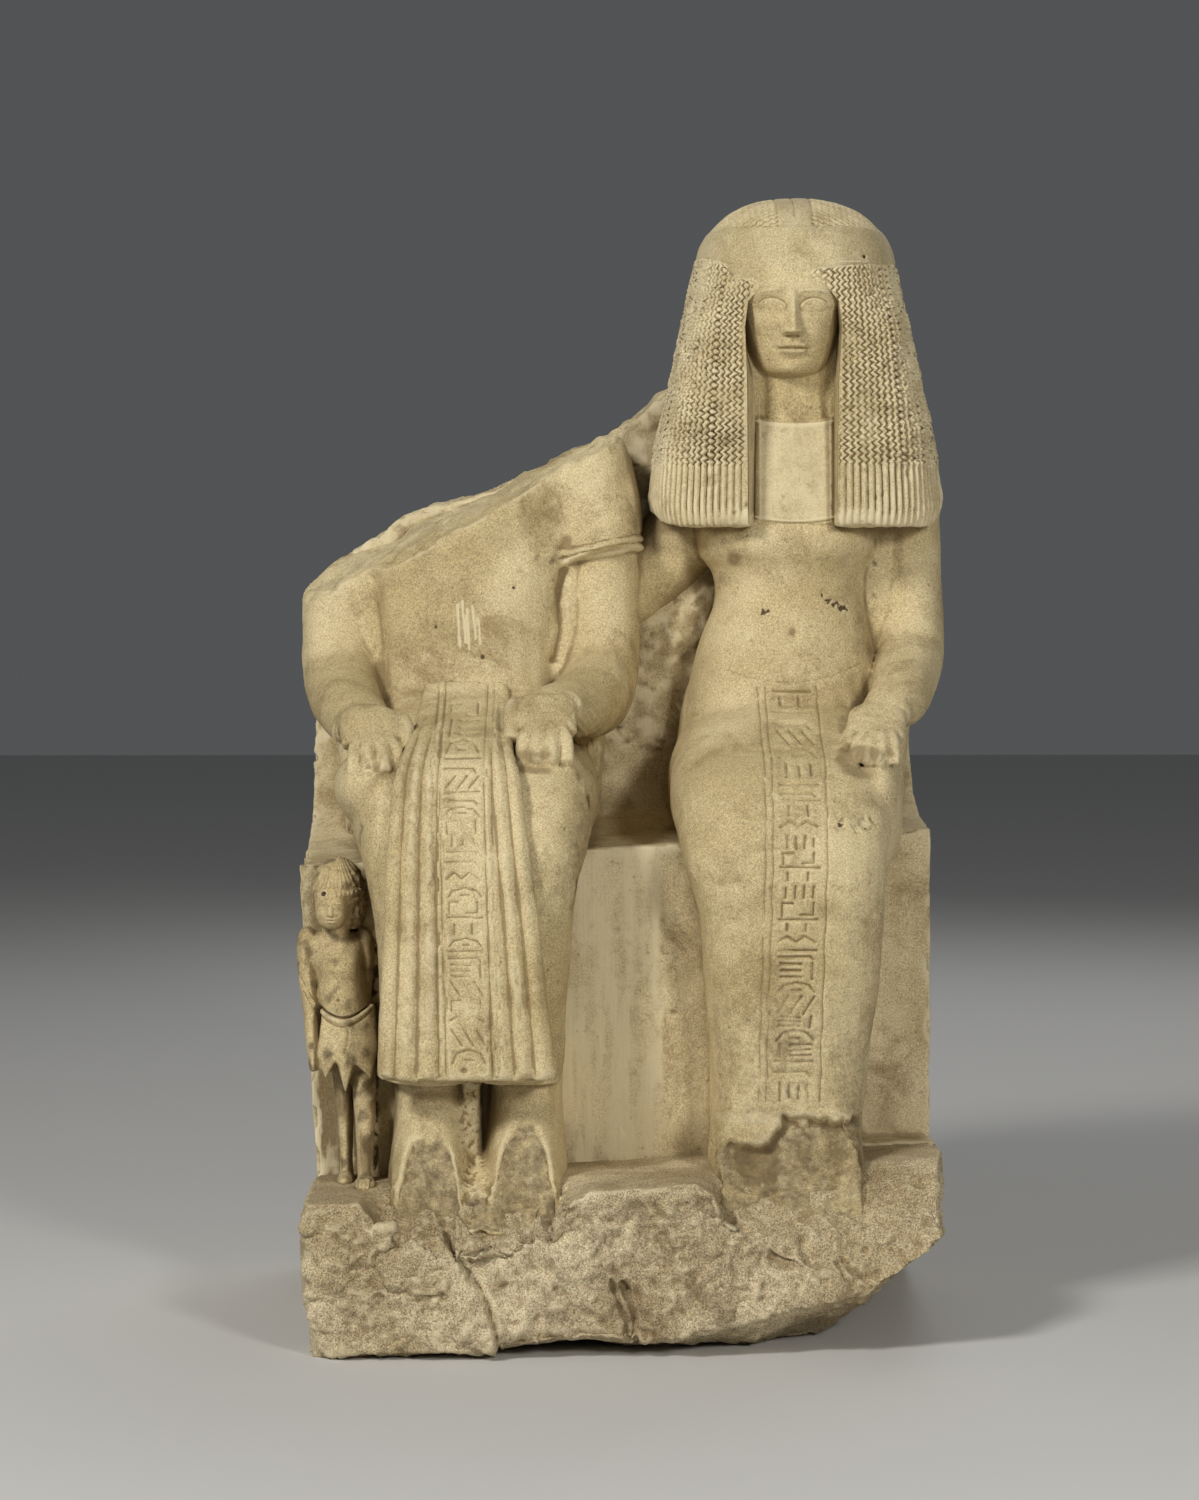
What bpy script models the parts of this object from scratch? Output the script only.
"""Seated couple with a small boy, carved from one block of limestone.

The man, the woman, the boy, their chair and the broken base are one solid. Bodies and
limbs are closed lofts that a voxel remesh fuses into soft carving. Chair, base, apron and
wig keep their own crisp faces and are joined on with exact Booleans.
Metres, +Z up, the figures look along -Y. The origin is on the underside.
"""

import math

import bmesh
import bpy
from mathutils import Matrix, Vector, noise

# Driving dimensions
TOP = 0.847                 # crown of the wig above the floor
BASE_TOP = 0.120            # top of the base at the middle of the block
SEAT_TOP = 0.352            # seat at the middle of the block
LEAN = 0.050                # rise of base top and seat towards +X, metres per metre
BACK = 0.212                # rear face of the block
FRONT = -0.212              # front of the base, where it still stands
LEFT, RIGHT = -0.2355, 0.2375   # sides of the chair
MAN_X, WOMAN_X, WIG_X, BOY_X = -0.112, 0.1335, 0.1410, -0.2040
ROUGH = 0.007               # depth of the broken base's hollows

# Fineness
RING = 24                   # points round a limb
STEPS = 3                   # rings between two named sections
VOXEL = 0.0026              # grid that fuses the bodies
BODY_TRIANGLES = 5000       # what the bodies are thinned to

X, Y, Z = Vector((1, 0, 0)), Vector((0, 1, 0)), Vector((0, 0, 1))


def clear_scene():
    for obj in list(bpy.data.objects):
        bpy.data.objects.remove(obj)


def between(keys, steps):
    """The named sections, with a smooth curve of in-between ones."""
    out = []
    for i in range(len(keys) - 1):
        before, a = keys[max(i - 1, 0)], keys[i]
        b, after = keys[i + 1], keys[min(i + 2, len(keys) - 1)]
        for s in range(steps):
            t = s / steps
            out.append([
                0.5 * (2 * p1 + (p2 - p0) * t + (2 * p0 - 5 * p1 + 4 * p2 - p3) * t ** 2
                       + (3 * p1 - p0 - 3 * p2 + p3) * t ** 3)
                for p0, p1, p2, p3 in zip(before, a, b, after)])
    out.append(list(keys[-1]))
    return out


def loft(keys, flat=True, hint=X, ring=RING, steps=STEPS, flutes=None):
    """A closed skin through sections (x, y, z, half width, half depth, squareness).

    Flat sections lie level. Otherwise they stand square to the path, their width along
    the hint. Flutes are (count, depth) of the grooves on the skin's front half.
    """
    bm = bmesh.new()
    rows = between(keys, steps)
    before = None
    for i, (x, y, z, wide, deep, power) in enumerate(rows):
        along = Z
        if not flat:
            ahead = Vector(rows[min(i + 1, len(rows) - 1)][:3])
            along = (ahead - Vector(rows[max(i - 1, 0)][:3])).normalized()
        side = (hint - hint.dot(along) * along).normalized()
        third = along.cross(side)
        verts = bmesh.ops.create_circle(bm, segments=ring, radius=1)["verts"]
        for v in verts:
            c, s = v.co.x, v.co.y
            size = (abs(c) ** power + abs(s) ** power) ** (-1 / power)
            across, out = c * size, s * size
            point = Vector((x, y, z)) + side * across * wide + third * out * deep
            if flutes and (third * out).y < 0:
                wave = (1 - math.cos(math.pi * flutes[0] * (across + 1))) / 2
                point.y += flutes[1] * wave * min(1.0, 5 * (1 - abs(across)))
            v.co = point
        edges = [e for e in bm.edges if e.verts[0] in verts and e.verts[1] in verts]
        if before is None:
            bmesh.ops.contextual_create(bm, geom=edges)
        else:
            bmesh.ops.bridge_loops(bm, edges=before + edges)
        before = edges
    bmesh.ops.contextual_create(bm, geom=before)
    bmesh.ops.recalc_face_normals(bm, faces=bm.faces)
    return bm


def ball(centre, half, turn=0.0):
    """An egg of the given half sizes, turned about X."""
    bm = bmesh.new()
    bmesh.ops.create_uvsphere(bm, u_segments=20, v_segments=12, radius=1)
    place = (Matrix.Translation(centre) @ Matrix.Rotation(math.radians(turn), 4, "X")
             @ Matrix.Diagonal((*half, 1)))
    bmesh.ops.transform(bm, matrix=place, verts=bm.verts)
    return bm


def block(low, high, lean=0.0, bevel=0.0):
    """A box between two corners, with its top rising towards +X, and soft edges."""
    bm = bmesh.new()
    bmesh.ops.create_cube(bm, size=1)
    for v in bm.verts:
        top = v.co.z > 0
        v.co = Vector([low[i] if v.co[i] < 0 else high[i] for i in range(3)])
        v.co.z += lean * v.co.x if top else 0.0
    if bevel:
        bmesh.ops.bevel(bm, geom=bm.edges[:], offset=bevel, segments=1, profile=0.5,
                        affect="EDGES")
    return bm


def plate(points, near, far, along=Y):
    """A plate of the outline (across, z), between two distances along an axis."""
    bm = bmesh.new()
    across = X if along == Y else Y
    face = bm.faces.new([bm.verts.new(across * a + Z * z + along * near)
                         for a, z in points])
    moved = bmesh.ops.extrude_face_region(bm, geom=[face])["geom"]
    bmesh.ops.translate(bm, vec=along * (far - near),
                        verts=[g for g in moved if isinstance(g, bmesh.types.BMVert)])
    bmesh.ops.recalc_face_normals(bm, faces=bm.faces)
    return bm


def facet(keep, *points):
    """(point, normal) of the plane through three points, facing away from keep."""
    a, b, c = (Vector(p) for p in points)
    normal = (b - a).cross(c - a).normalized()
    if normal.dot(Vector(keep) - a) > 0:
        normal = -normal
    return a, normal


def break_off(bm, *planes):
    """Cuts away what lies past each (point, outward normal) plane and caps the break."""
    for point, normal in planes:
        found = bmesh.ops.bisect_plane(
            bm, geom=bm.verts[:] + bm.edges[:] + bm.faces[:], plane_co=point,
            plane_no=normal, clear_outer=True)
        cut = [g for g in found["geom_cut"] if isinstance(g, bmesh.types.BMEdge)]
        if cut:
            bmesh.ops.holes_fill(bm, edges=cut)
    bmesh.ops.recalc_face_normals(bm, faces=bm.faces)
    return bm


def head_break():
    """The break that took the man's head and right shoulder, as three facets."""
    chest = (MAN_X, 0.08, 0.45)
    return (
        facet(chest, (-0.178, 0.02, 0.556), (-0.090, 0.02, 0.604), (-0.165, 0.17, 0.606)),
        facet(chest, (-0.200, 0.02, 0.555), (-0.020, 0.02, 0.642), (-0.110, 0.17, 0.620)),
        facet(chest, (-0.240, 0.05, 0.540), (-0.203, 0.05, 0.562), (-0.215, 0.12, 0.570)))


def sliced(bm, step):
    """Cuts the faces along planes a step apart, so that they can be shaped."""
    for axis in range(3):
        low = min(v.co[axis] for v in bm.verts)
        high = max(v.co[axis] for v in bm.verts)
        count = round((high - low) / step)
        for i in range(1, count):
            normal = Vector((0, 0, 0))
            normal[axis] = 1
            bmesh.ops.bisect_plane(
                bm, geom=bm.verts[:] + bm.edges[:] + bm.faces[:],
                plane_co=normal * (low + (high - low) * i / count), plane_no=normal)
    return bm


def rise(value, low, high):
    """0 below low, 1 above high, and a smooth step between them."""
    t = min(1.0, max(0.0, (value - low) / (high - low)))
    return t * t * (3 - 2 * t)


def base_block():
    """The base: its front broke off with the feet, and so did its lower right corner."""
    rear = block((-0.2220, -0.080, 0.0), (RIGHT + 0.001, BACK, BASE_TOP), LEAN)
    front = sliced(block((-0.2230, FRONT, 0.0), (RIGHT + 0.001, -0.079, BASE_TOP), LEAN),
                   0.0170)
    middle = (0.0, 0.12, 0.08)
    corner = facet(middle, (0.174, -0.200, 0.040), (0.231, -0.200, 0.084), (0.240, 0.19, 0))
    break_off(rear, corner)
    break_off(
        front, corner,
        facet(middle, (0.015, -0.205, 0.006), (0.174, -0.200, 0.040), (0.150, -0.12, 0.0)),
        facet(middle, (-0.16, -0.206, 0.004), (0.020, -0.206, 0.010), (-0.06, -0.17, 0.0)),
        facet(middle, (0.140, -0.213, 0.050), (0.140, -0.196, 0.128), (0.232, -0.190, 0.10)),
        facet(middle, (0.222, -0.200, 0.134), (0.232, -0.200, 0.070), (0.240, -0.10, 0.12)),
        facet(middle, (-0.215, -0.200, 0.0), (-0.224, -0.200, 0.040), (-0.224, 0.0, 0.012)))
    for v in front.verts:
        x, y, z = v.co
        top = BASE_TOP + LEAN * x
        feet = (rise(x, -0.178, -0.160) * (1 - rise(x, -0.044, -0.028))
                + rise(x, 0.062, 0.080) * (1 - rise(x, 0.225, 0.260)))
        away = rise(-y, 0.150, 0.185)
        side = rise(abs(x), 0.20, 0.222) * rise(top - z, 0.01, 0.03) * rise(-y, 0.09, 0.12)
        wave = ROUGH * (noise.noise(v.co * 16.0) + 0.6 * noise.noise(v.co * 39.0))
        if z > top - 0.004:
            v.co.z -= feet * rise(-y, 0.128, 0.205) * 0.046
            v.co.z += feet * rise(-y, 0.135, 0.160) * wave * 0.7
            wave *= 0.4 + 0.6 * feet
        v.co.y += away * (0.35 * ROUGH + wave)
        if z < 0.001:
            continue
        v.co.x -= math.copysign(side * (0.3 * ROUGH + 0.5 * wave), x)
    return [rear, front]


def chair():
    """Seat with its low coved back, and the high slab behind the figures."""
    seat = plate([(-0.060, 0.10), (-0.060, SEAT_TOP), (-0.020, SEAT_TOP + 0.001),
                  (0.035, 0.357), (0.080, 0.368), (0.112, 0.386), (0.133, 0.411),
                  (0.144, 0.449), (BACK, 0.449), (BACK, 0.10)], LEFT, RIGHT, X)
    for v in seat.verts:
        if 0.11 < v.co.z < 0.44:
            v.co.z += LEAN * v.co.x
        elif v.co.z < 0.11 and v.co.x < 0:
            v.co.x = -0.2205
    slab = plate(
        [(-0.205, 0.42), (0.226, 0.42), (0.226, 0.660), (0.216, 0.705), (0.190, 0.733),
         (0.150, 0.745), (0.105, 0.738), (0.070, 0.722), (0.033, 0.693), (-0.002, 0.665),
         (-0.056, 0.638), (-0.103, 0.619), (-0.165, 0.602), (-0.205, 0.574)],
        0.134, BACK - 0.001)
    corner = block((0.180, -0.10, 0.1325), (0.26, -0.034, 0.5), 0.0)
    return [seat, slab], corner


def hand(back, wrist, tips, radius, thumb_side):
    """A flat hand on the thigh: its back, four fingers and a thumb."""
    wrist, tips = Vector(wrist), Vector(tips)
    made = [loft([(*wrist, 3.2 * radius, 2.2 * radius, 2.4),
                  (*back, 4.1 * radius, 2.0 * radius, 2.6),
                  (*(Vector(back).lerp(tips, 0.5)), 4.2 * radius, 1.6 * radius, 2.8)],
                 flat=False)]
    start = Vector(back).lerp(tips, 0.25)
    for i in range(4):
        shift = X * (i - 1.5) * radius * 2.05
        tip = tips + shift + (Y * 0.004 if i in (0, 3) else Vector())
        made.append(loft([
            (*(start + shift), radius, radius * 1.1, 2),
            (*(start.lerp(tip, 0.5) + shift * 0.5 + Z * 0.004), radius, radius * 1.2, 2),
            (*tip, radius * 0.85, radius * 0.8, 2)], flat=False, ring=12))
    inner = Vector(back) + X * thumb_side * 4.4 * radius
    made.append(loft([
        (*(wrist + X * thumb_side * 3.0 * radius), radius, radius * 1.2, 2),
        (*inner, radius * 1.1, radius * 1.2, 2),
        (*(inner.lerp(tips + X * thumb_side * 4.4 * radius, 0.6)), radius, radius, 2)],
        flat=False, ring=12))
    return made


def man():
    torso = loft([
        (MAN_X, 0.085, 0.380, 0.087, 0.080, 2.8),
        (MAN_X, 0.078, 0.430, 0.082, 0.076, 2.7),
        (MAN_X, 0.078, 0.465, 0.071, 0.066, 2.5),
        (MAN_X, 0.080, 0.510, 0.0715, 0.064, 2.5),
        (MAN_X, 0.085, 0.555, 0.080, 0.067, 2.5),
        (MAN_X, 0.092, 0.605, 0.098, 0.066, 2.5),
        (MAN_X, 0.095, 0.650, 0.098, 0.056, 2.4),
        (MAN_X, 0.098, 0.690, 0.060, 0.040, 2.0)])
    sleeve = loft([
        (-0.062, 0.094, 0.668, 0.030, 0.036, 2.2),
        (-0.028, 0.090, 0.648, 0.036, 0.044, 2.2),
        (-0.0120, 0.084, 0.612, 0.0345, 0.047, 2.3),
        (-0.0100, 0.078, 0.580, 0.0335, 0.047, 2.3),
        (-0.0095, 0.076, 0.567, 0.0330, 0.046, 2.3)], flat=False)
    left_arm = loft([
        (-0.0080, 0.082, 0.610, 0.0275, 0.038, 2.2),
        (-0.0070, 0.078, 0.545, 0.0270, 0.037, 2.2),
        (-0.0065, 0.070, 0.500, 0.0275, 0.035, 2.2),
        (-0.0090, 0.050, 0.474, 0.0265, 0.031, 2.2),
        (-0.0170, 0.012, 0.458, 0.0245, 0.026, 2.1),
        (-0.0310, -0.030, 0.448, 0.0215, 0.021, 2.1),
        (-0.0440, -0.064, 0.440, 0.0200, 0.017, 2.1),
        (-0.0500, -0.085, 0.436, 0.0215, 0.013, 2.2)], flat=False)
    right_arm = loft([
        (-0.2070, 0.088, 0.600, 0.0290, 0.038, 2.2),
        (-0.2105, 0.084, 0.555, 0.0295, 0.038, 2.2),
        (-0.2105, 0.078, 0.512, 0.0285, 0.036, 2.2),
        (-0.2100, 0.062, 0.482, 0.0280, 0.032, 2.2),
        (-0.2060, 0.030, 0.464, 0.0260, 0.027, 2.1),
        (-0.1980, -0.010, 0.452, 0.0230, 0.023, 2.1),
        (-0.1890, -0.048, 0.443, 0.0205, 0.019, 2.1),
        (-0.1830, -0.072, 0.437, 0.0210, 0.014, 2.2)], flat=False)
    thighs = [loft([
        (x, 0.090, 0.385, 0.048, 0.046, 2.4),
        (x, 0.010, 0.386, 0.049, 0.045, 2.4),
        (x + lean, -0.060, 0.384, 0.0485, 0.043, 2.4),
        (x + 1.5 * lean, -0.096, 0.372, 0.045, 0.041, 2.4),
        (x + 3.0 * lean, -0.112, 0.343, 0.0415, 0.040, 2.4),
        (x + 4.0 * lean, -0.108, 0.300, 0.0380, 0.040, 2.4),
        (x + 4.5 * lean, -0.102, 0.240, 0.0350, 0.042, 2.4),
        (x + 5.0 * lean, -0.100, 0.186, 0.0330, 0.043, 2.4)], flat=False)
        for x, lean in ((-0.1500, 0.0030), (-0.0600, -0.0024))]
    between_legs = block((-0.145, -0.128, 0.187), (-0.068, -0.030, 0.405), bevel=0.006)
    hips = loft([(-0.105, 0.160, 0.380, 0.088, 0.048, 3.5),
                 (-0.105, 0.060, 0.378, 0.092, 0.048, 3.5),
                 (-0.105, -0.050, 0.376, 0.086, 0.040, 3.5)], flat=False)
    behind = loft([
        (-0.108, 0.110, 0.320, 0.100, 0.070, 4),
        (-0.109, 0.112, 0.400, 0.102, 0.058, 4),
        (-0.111, 0.120, 0.470, 0.112, 0.042, 4),
        (-0.112, 0.124, 0.530, 0.118, 0.036, 4),
        (-0.110, 0.126, 0.610, 0.112, 0.030, 4)])
    shins = [loft([
        (x, -0.068, 0.215, 0.0275, 0.060, 2.4),
        (x, -0.069, 0.175, 0.0258, 0.059, 2.4),
        (x, -0.074, 0.155, 0.0265, 0.068, 2.3),
        (x, -0.082, 0.130, 0.0285, 0.092, 2.2),
        (x, -0.084, 0.100, 0.0300, 0.105, 2.2)])
        for x in (-0.1355, -0.0665)]
    web = block((-0.135, -0.092, 0.10), (-0.066, -0.030, 0.21))
    strip = block((-0.1115, -0.112, 0.10), (-0.0985, -0.050, 0.21), bevel=0.003)
    for bm in (torso, right_arm, behind):
        break_off(bm, *head_break())
    break_off(sleeve, head_break()[1])
    stumps = facet((-0.1, 0.0, 0.15), (-0.1, -0.146, 0.165), (-0.2, -0.146, 0.165),
                   (-0.1, -0.163, 0.118))
    for bm in shins:
        break_off(bm, stumps)
    fitted = [torso, sleeve, left_arm, right_arm, *thighs, between_legs, hips, behind,
              *shins, web, strip]
    fitted += hand((-0.0540, -0.090, 0.4330), (-0.0490, -0.070, 0.4380),
                   (-0.0610, -0.138, 0.4190), 0.0056, -1)
    fitted += hand((-0.1790, -0.086, 0.4300), (-0.1830, -0.068, 0.4360),
                   (-0.1745, -0.136, 0.4120), 0.0056, 1)
    return fitted


def apron():
    """The man's pleated apron, from waist to hem, with the inscribed strip on it."""
    front = loft([
        (-0.1120, 0.016, 0.462, 0.034, 0.010, 5),
        (-0.1122, -0.004, 0.446, 0.035, 0.012, 5),
        (-0.1126, -0.050, 0.432, 0.036, 0.012, 5),
        (-0.1138, -0.104, 0.424, 0.038, 0.012, 5),
        (-0.1150, -0.140, 0.402, 0.041, 0.013, 5),
        (-0.1138, -0.151, 0.355, 0.046, 0.015, 5),
        (-0.1112, -0.155, 0.300, 0.052, 0.016, 5),
        (-0.1092, -0.159, 0.240, 0.0585, 0.017, 5),
        (-0.1080, -0.162, 0.1955, 0.0635, 0.017, 5)],
        flat=False, ring=72, steps=1, flutes=(9, 0.0036))
    strip = loft([
        (-0.1110, 0.004, 0.452, 0.0155, 0.008, 8),
        (-0.1110, -0.050, 0.4345, 0.0155, 0.0115, 8),
        (-0.1112, -0.104, 0.4265, 0.0156, 0.0115, 8),
        (-0.1112, -0.1420, 0.4030, 0.0158, 0.0120, 8),
        (-0.1102, -0.1535, 0.355, 0.0158, 0.0140, 8),
        (-0.1084, -0.1575, 0.300, 0.0156, 0.0150, 8),
        (-0.1066, -0.1610, 0.240, 0.0155, 0.0160, 8),
        (-0.1056, -0.1635, 0.1965, 0.0155, 0.0160, 8)],
        flat=False, ring=16, steps=1)
    return [front, strip]


def woman():
    torso = loft([
        (WOMAN_X, 0.085, 0.380, 0.086, 0.080, 2.6),
        (WOMAN_X, 0.080, 0.432, 0.082, 0.074, 2.6),
        (WOMAN_X, 0.076, 0.470, 0.0740, 0.068, 2.4),
        (0.1345, 0.075, 0.505, 0.0650, 0.060, 2.3),
        (0.1360, 0.077, 0.536, 0.0605, 0.056, 2.2),
        (0.1350, 0.079, 0.562, 0.0620, 0.057, 2.2),
        (WOMAN_X, 0.082, 0.590, 0.0690, 0.059, 2.2),
        (WOMAN_X, 0.087, 0.630, 0.0880, 0.057, 2.3),
        (WOMAN_X, 0.092, 0.655, 0.0850, 0.045, 2.2),
        (WOMAN_X, 0.094, 0.672, 0.0450, 0.035, 2.0)])
    breasts = [ball((WOMAN_X + s * 0.0345, 0.040, 0.580), (0.0300, 0.0370, 0.0290), 24)
               for s in (-1, 1)]
    collar = loft([
        (WOMAN_X, 0.055, 0.575, 0.040, 0.044, 2.8),
        (WOMAN_X, 0.055, 0.605, 0.040, 0.048, 2.8),
        (WOMAN_X, 0.060, 0.645, 0.040, 0.044, 2.6),
        (WOMAN_X, 0.066, 0.682, 0.036, 0.038, 2.4)])
    neck = loft([
        (0.1360, 0.064, 0.640, 0.0285, 0.034, 2),
        (0.1360, 0.060, 0.685, 0.0245, 0.032, 2),
        (0.1350, 0.056, 0.725, 0.0245, 0.032, 2)])
    head = loft([
        (0.1345, 0.018, 0.7045, 0.0090, 0.012, 2),
        (0.1345, 0.022, 0.7070, 0.0175, 0.022, 2),
        (0.1345, 0.030, 0.7140, 0.0265, 0.032, 2.1),
        (0.1345, 0.036, 0.7300, 0.0350, 0.040, 2.2),
        (0.1345, 0.040, 0.7500, 0.0385, 0.0455, 2.2),
        (0.1345, 0.042, 0.7700, 0.0390, 0.0470, 2.2),
        (0.1345, 0.046, 0.8000, 0.0360, 0.0450, 2.2)])
    nose = loft([
        (0.1345, -0.0045, 0.7600, 0.0038, 0.005, 2),
        (0.1345, -0.0075, 0.7480, 0.0042, 0.007, 2),
        (0.1345, -0.0095, 0.7380, 0.0065, 0.008, 2),
        (0.1345, -0.0055, 0.7335, 0.0070, 0.005, 2)], ring=12)
    mouth = ball((0.1345, -0.0035, 0.7240), (0.0110, 0.0050, 0.0042))
    eyes = [ball((0.1345 + s * 0.0160, 0.0010, 0.7555), (0.0090, 0.0050, 0.0042))
            for s in (-1, 1)]
    left_arm = loft([
        (0.215, 0.094, 0.655, 0.0240, 0.034, 2.2),
        (0.2285, 0.090, 0.615, 0.0250, 0.034, 2.2),
        (0.2300, 0.085, 0.560, 0.0245, 0.033, 2.2),
        (0.2315, 0.076, 0.518, 0.0245, 0.032, 2.2),
        (0.2300, 0.056, 0.489, 0.0240, 0.029, 2.2),
        (0.2230, 0.022, 0.471, 0.0220, 0.025, 2.1),
        (0.2110, -0.018, 0.456, 0.0195, 0.021, 2.1),
        (0.2000, -0.050, 0.445, 0.0175, 0.016, 2.1),
        (0.1940, -0.070, 0.439, 0.0180, 0.012, 2.2)], flat=False)
    right_arm = loft([
        (0.085, 0.098, 0.630, 0.032, 0.034, 2.1),
        (0.056, 0.104, 0.587, 0.031, 0.032, 2.1),
        (0.006, 0.116, 0.538, 0.028, 0.030, 2.1),
        (-0.045, 0.130, 0.505, 0.026, 0.026, 2.1)], flat=False, hint=Y)
    skirt = loft([
        (WOMAN_X, 0.100, 0.388, 0.0890, 0.050, 2.5),
        (0.1300, 0.020, 0.388, 0.0870, 0.050, 2.5),
        (0.1250, -0.050, 0.386, 0.0830, 0.047, 2.5),
        (0.1235, -0.085, 0.376, 0.0795, 0.046, 2.5),
        (0.1240, -0.106, 0.350, 0.0745, 0.045, 2.5),
        (0.1275, -0.106, 0.310, 0.0675, 0.044, 2.5),
        (0.1285, -0.098, 0.250, 0.0625, 0.044, 2.5),
        (0.1280, -0.090, 0.200, 0.0575, 0.044, 2.5),
        (0.1250, -0.086, 0.150, 0.0530, 0.044, 2.5),
        (0.1250, -0.086, 0.120, 0.0540, 0.044, 2.5)], flat=False)
    calves = loft([
        (0.1275, -0.050, 0.365, 0.0700, 0.060, 4),
        (0.1285, -0.045, 0.250, 0.0620, 0.060, 4),
        (0.1260, -0.040, 0.105, 0.0540, 0.060, 4)])
    hips = loft([(WOMAN_X, 0.160, 0.385, 0.086, 0.050, 3.2),
                 (WOMAN_X, 0.060, 0.385, 0.088, 0.050, 3.2),
                 (0.1280, -0.050, 0.380, 0.080, 0.044, 3.2)], flat=False)
    feet = [loft([
        (x, -0.086, 0.180, 0.0240, 0.038, 2.3),
        (x, -0.096, 0.155, 0.0270, 0.056, 2.2),
        (x, -0.106, 0.130, 0.0285, 0.080, 2.2),
        (x, -0.108, 0.105, 0.0290, 0.090, 2.2)]) for x in (0.1010, 0.1500)]
    stumps = facet((0.1, 0.0, 0.15), (0.1, -0.144, 0.160), (0.2, -0.142, 0.170),
                   (0.1, -0.166, 0.116))
    for bm in feet:
        break_off(bm, stumps)
    behind = loft([
        (0.136, 0.110, 0.320, 0.092, 0.070, 4),
        (0.137, 0.112, 0.400, 0.092, 0.058, 4),
        (0.142, 0.120, 0.470, 0.096, 0.044, 4),
        (0.146, 0.124, 0.540, 0.098, 0.036, 4),
        (0.146, 0.126, 0.620, 0.098, 0.030, 4)])
    made = [torso, *breasts, collar, neck, head, nose, mouth, *eyes, left_arm, right_arm,
            skirt, calves, hips, *feet, behind]
    made += hand((0.1900, -0.076, 0.4340), (0.1935, -0.060, 0.4400),
                 (0.1810, -0.122, 0.4170), 0.0048, -1)
    return made


def wig():
    """The long wig: smooth fillet, fall in grooved locks, and the slot for the face."""
    fall = loft([
        (WIG_X, 0.080, 0.592, 0.1115, 0.0895, 2.5),
        (WIG_X, 0.080, 0.600, 0.1128, 0.0905, 2.5),
        (WIG_X, 0.080, 0.612, 0.1130, 0.0905, 2.5),
        (WIG_X, 0.080, 0.650, 0.1085, 0.0905, 2.4),
        (WIG_X, 0.080, 0.690, 0.0997, 0.0905, 2.4),
        (WIG_X, 0.080, 0.740, 0.0885, 0.0900, 2.3),
        (WIG_X, 0.080, 0.797, 0.0755, 0.0860, 2.3)], ring=72, steps=1)
    for i, v in enumerate(fall.verts):
        if i % 2:
            v.co.x = WIG_X + (v.co.x - WIG_X) * 0.972
            v.co.y = 0.080 + (v.co.y - 0.080) * 0.972
    crown = loft([
        (WIG_X, 0.080, 0.775, 0.0780, 0.0900, 2.3),
        (WIG_X, 0.080, 0.797, 0.0762, 0.0885, 2.3),
        (WIG_X, 0.081, 0.816, 0.0690, 0.0820, 2.25),
        (WIG_X, 0.083, 0.832, 0.0540, 0.0660, 2.2),
        (WIG_X, 0.085, 0.8420, 0.0340, 0.0420, 2.1),
        (WIG_X, 0.086, TOP, 0.0080, 0.0100, 2.0)], ring=36, steps=2)
    slot = plate(
        [(0.1010, 0.55), (0.1675, 0.55), (0.1690, 0.700), (0.1715, 0.740), (0.1690, 0.760),
         (0.1580, 0.773), (0.1345, 0.779), (0.1120, 0.773), (0.1010, 0.760),
         (0.0985, 0.740), (0.1000, 0.700)], -0.3, 0.034)
    return [fall, crown], slot


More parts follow.
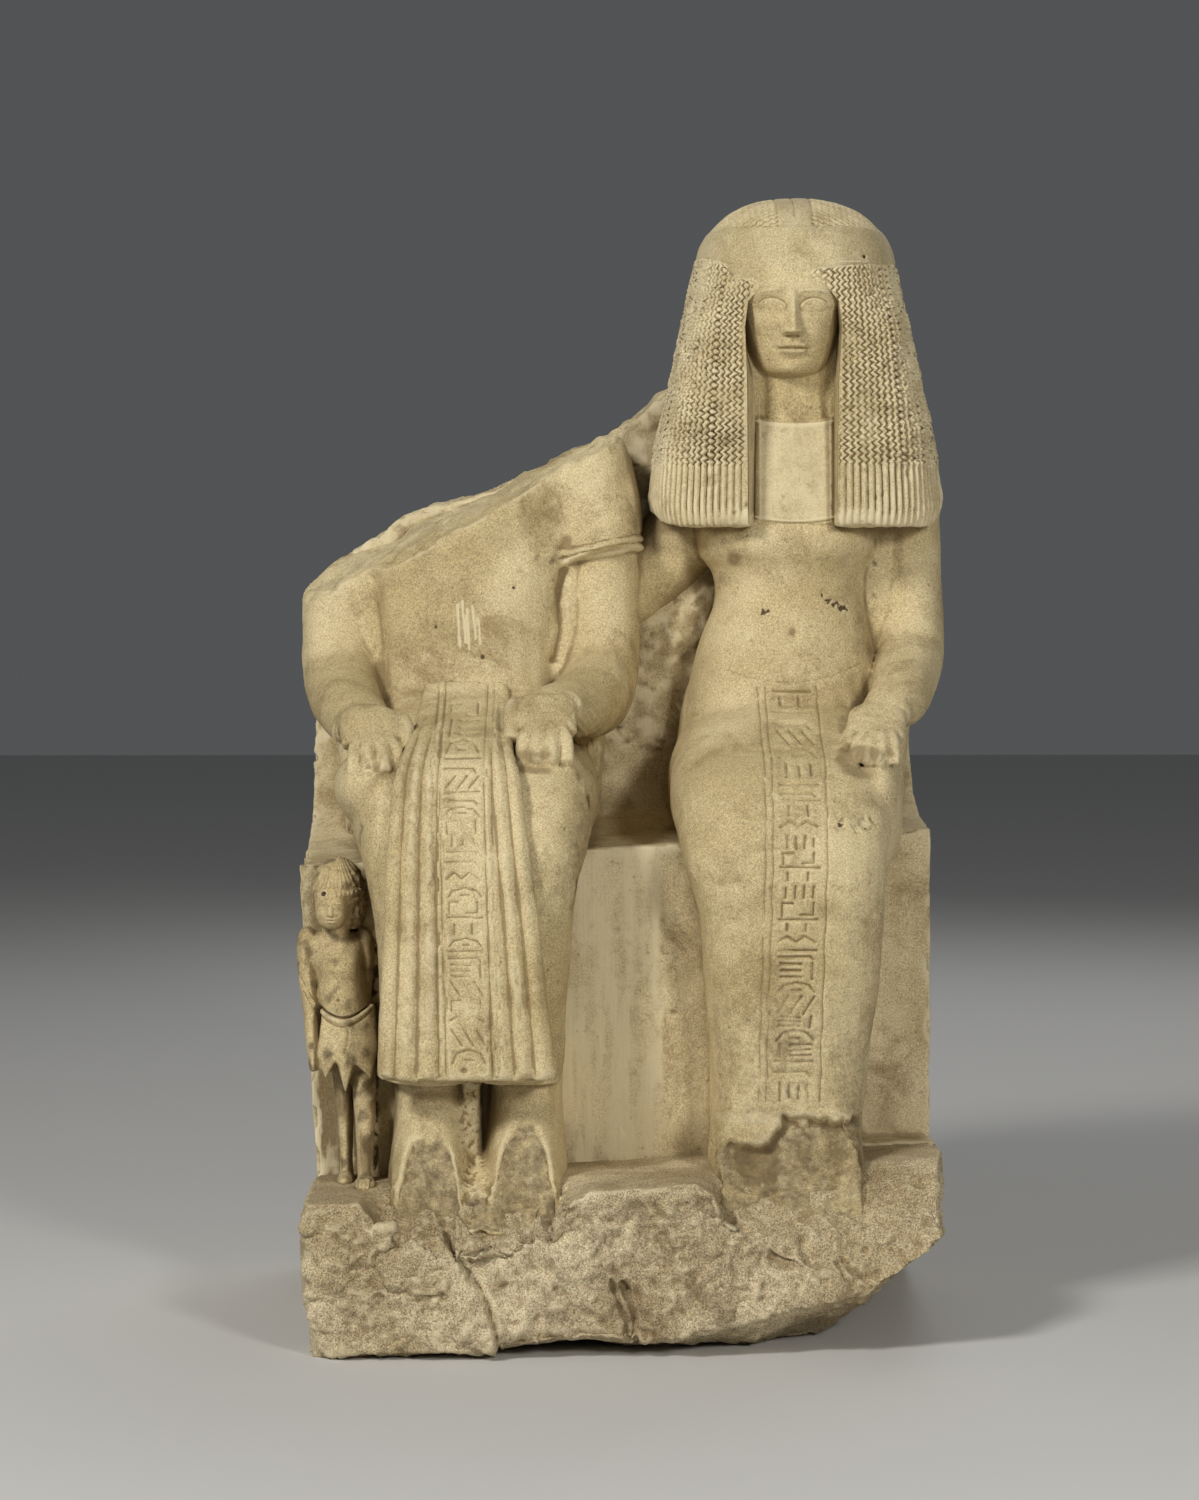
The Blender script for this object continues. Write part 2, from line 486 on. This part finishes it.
def boy():
    """The boy who stands by the man's right leg, his left foot forward."""
    hair = loft([
        (BOY_X, -0.088, 0.3000, 0.0150, 0.0140, 2.2),
        (BOY_X, -0.090, 0.3080, 0.0195, 0.0180, 2.2),
        (BOY_X, -0.092, 0.3220, 0.0210, 0.0230, 2.2),
        (BOY_X, -0.092, 0.3350, 0.0175, 0.0200, 2.1),
        (BOY_X, -0.092, 0.3435, 0.0060, 0.0070, 2.0)])
    face = loft([
        (BOY_X, -0.1080, 0.2955, 0.0050, 0.0060, 2),
        (BOY_X, -0.1080, 0.3010, 0.0115, 0.0120, 2.1),
        (BOY_X, -0.1080, 0.3140, 0.0145, 0.0140, 2.2),
        (BOY_X, -0.1060, 0.3280, 0.0140, 0.0130, 2.2)])
    neck = loft([(BOY_X, -0.096, 0.275, 0.0085, 0.0095, 2),
                 (BOY_X, -0.098, 0.303, 0.0080, 0.0090, 2)])
    torso = loft([
        (-0.2010, -0.092, 0.180, 0.0205, 0.0250, 2.3),
        (-0.2010, -0.093, 0.210, 0.0205, 0.0230, 2.3),
        (-0.2015, -0.094, 0.236, 0.0175, 0.0200, 2.3),
        (-0.2030, -0.094, 0.262, 0.0200, 0.0200, 2.3),
        (-0.2040, -0.092, 0.280, 0.0245, 0.0170, 2.3),
        (-0.2040, -0.090, 0.291, 0.0130, 0.0120, 2.0)])
    arms = [loft([
        (x0, -0.090, 0.284, 0.0068, 0.0100, 2.1),
        (x0 + 0.25 * (x1 - x0), -0.092, 0.252, 0.0064, 0.0100, 2.1),
        (x1, -0.098, 0.222, 0.0060, 0.0095, 2.1),
        (x1, -0.100, 0.199, 0.0060, 0.0090, 2.1)], flat=False, ring=12)
        for x0, x1 in ((-0.2270, -0.2185), (-0.1830, -0.1825))]
    legs = [loft([
        (x0, y0, 0.200, 0.0115, 0.0140, 2.1),
        (x0 + 0.4 * (x1 - x0), y0 - 0.004, 0.165, 0.0098, 0.0125, 2.1),
        (x1, y1, 0.125, 0.0075, 0.0105, 2.1),
        (x1, y1 - 0.006, 0.100, 0.0090, 0.0180, 2.1)], ring=12)
        for x0, x1, y0, y1 in ((-0.2100, -0.2010, -0.088, -0.088),
                               (-0.1930, -0.1840, -0.098, -0.134))]
    tips = loft([
        (-0.2010, -0.098, 0.228, 0.0175, 0.0170, 2.4),
        (-0.2010, -0.104, 0.205, 0.0190, 0.0200, 2.4),
        (-0.2000, -0.108, 0.184, 0.0165, 0.0200, 2.4)])
    behind = loft([
        (-0.2020, -0.066, 0.100, 0.0210, 0.0260, 4),
        (-0.2025, -0.066, 0.200, 0.0220, 0.0240, 4),
        (-0.2035, -0.066, 0.300, 0.0220, 0.0200, 4)], steps=1)
    return [hair, face, neck, torso, *arms, *legs, tips, behind]


def stone_material():
    made = bpy.data.materials.new("limestone")
    made.use_nodes = True
    shader = made.node_tree.nodes["Principled BSDF"]
    shader.inputs["Base Color"].default_value = (0.56, 0.45, 0.25, 1)
    shader.inputs["Roughness"].default_value = 0.85
    shader.inputs["Metallic"].default_value = 0.0
    return made


def as_object(name, *forms):
    """One object that holds all the forms given."""
    mesh = bpy.data.meshes.new(name)
    whole = bmesh.new()
    for form in forms:
        form.to_mesh(mesh)
        form.free()
        whole.from_mesh(mesh)
    whole.to_mesh(mesh)
    whole.free()
    obj = bpy.data.objects.new(name, mesh)
    bpy.context.scene.collection.objects.link(obj)
    return obj


def apply(obj, kind, **settings):
    made = obj.modifiers.new(kind.lower(), kind)
    for name, value in settings.items():
        setattr(made, name, value)
    with bpy.context.temp_override(object=obj):
        bpy.ops.object.modifier_apply(modifier=made.name)


def combine(obj, other, operation, solver="EXACT"):
    """Applies a Boolean and removes the other object."""
    apply(obj, "BOOLEAN", operation=operation, solver=solver, object=other)
    bpy.data.objects.remove(other)


def fill_pockets(obj):
    """Removes the shells of pockets that are sealed inside the stone."""
    bm = bmesh.new()
    bm.from_mesh(obj.data)
    waiting = set(bm.verts)
    shells = []
    while waiting:
        shell, rim = set(), [waiting.pop()]
        while rim:
            vert = rim.pop()
            shell.add(vert)
            for edge in vert.link_edges:
                other = edge.other_vert(vert)
                if other in waiting:
                    waiting.remove(other)
                    rim.append(other)
        shells.append(shell)
    for shell in sorted(shells, key=len)[:-1]:
        bmesh.ops.delete(bm, geom=list(shell), context="VERTS")
    bm.to_mesh(obj.data)
    bm.free()


def main():
    clear_scene()
    stone = as_object("family_group", *man(), *woman(), *boy())
    apply(stone, "REMESH", mode="VOXEL", voxel_size=VOXEL)
    apply(stone, "SMOOTH", factor=0.5, iterations=5)
    apply(stone, "DECIMATE", use_collapse_triangulate=True,
          ratio=BODY_TRIANGLES / (2 * len(stone.data.polygons)))
    for name, form in zip(("apron", "strip"), apron()):
        combine(stone, as_object(name, form), "UNION")

    (fall, crown), slot = wig()
    hair = as_object("wig", fall)
    combine(hair, as_object("crown", crown), "UNION")
    combine(hair, as_object("face_slot", slot), "DIFFERENCE")
    combine(stone, hair, "UNION")

    (seat, slab), corner = chair()
    seat = as_object("seat", seat)
    combine(seat, as_object("corner", corner), "DIFFERENCE")
    combine(seat, as_object("slab", slab), "UNION")
    for name, form in zip(("rear", "front"), base_block()):
        combine(seat, as_object(name, form), "UNION")
    combine(stone, seat, "UNION", "MANIFOLD")   # EXACT loses the bodies here

    fill_pockets(stone)
    stone.data.materials.clear()
    stone.data.materials.append(stone_material())
    stone.data.shade_smooth()
    stone.data.set_sharp_from_angle(angle=math.radians(40))


main()
